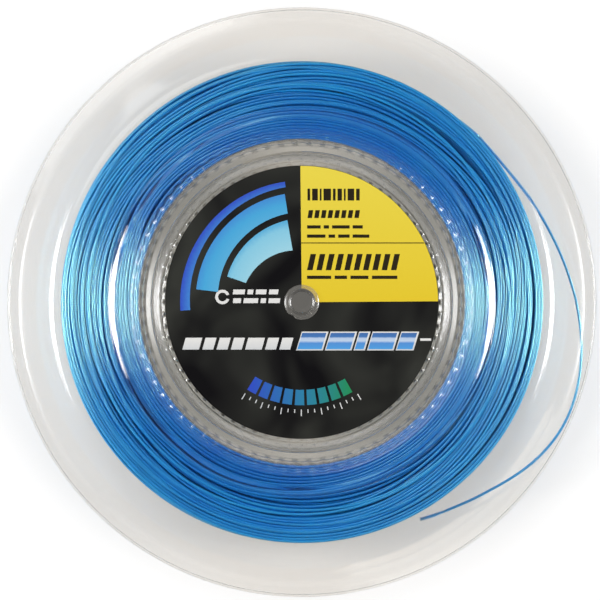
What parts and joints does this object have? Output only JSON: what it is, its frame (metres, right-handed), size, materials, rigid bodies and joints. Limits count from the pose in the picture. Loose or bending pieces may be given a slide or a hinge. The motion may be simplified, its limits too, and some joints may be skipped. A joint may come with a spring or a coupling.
{
  "type": "string reel",
  "caption": "Clear two-part plastic reel with inturned rims, hub labels and a flanged centre bush, wound with blue racket string whose free end lies inside the rim.",
  "frame": {"origin": "centre of the surface that the reel lies on, on the reel's axis, with the reel flat on its rear foot ring", "axes": "+Z along the reel's axis out of the front face, +Y towards the top of the front label, +X to the right of it"},
  "size_m": [0.27, 0.27, 0.026],
  "materials": {
    "clear_shell": "clear moulded polystyrene, polished",
    "printed_card": "coated card, printed charcoal with a yellow quarter and plain blue arcs, gloss varnish",
    "clear_bush": "clear moulded plastic, slightly frosted",
    "blue_string": "extruded polyester monofilament, glossy blue",
    "tape": "paper-backed adhesive tape"
  },
  "bodies": {
    "reel": {"front_shell": "clear_shell", "rear_shell": "clear_shell", "front_label": "printed_card", "rear_label": "printed_card", "string_winding": "blue_string", "string_tail": "blue_string", "start_tape": "tape"},
    "bush": {"centre_bush": "clear_bush", "bush_collar": "clear_bush"}
  },
  "joints": [
    {"name": "bush_spin", "type": "hinge", "parent": "reel", "child": "bush", "pos_m": [0, 0, 0.013], "axis": [0, 0, 1], "continuous": true}
  ]
}
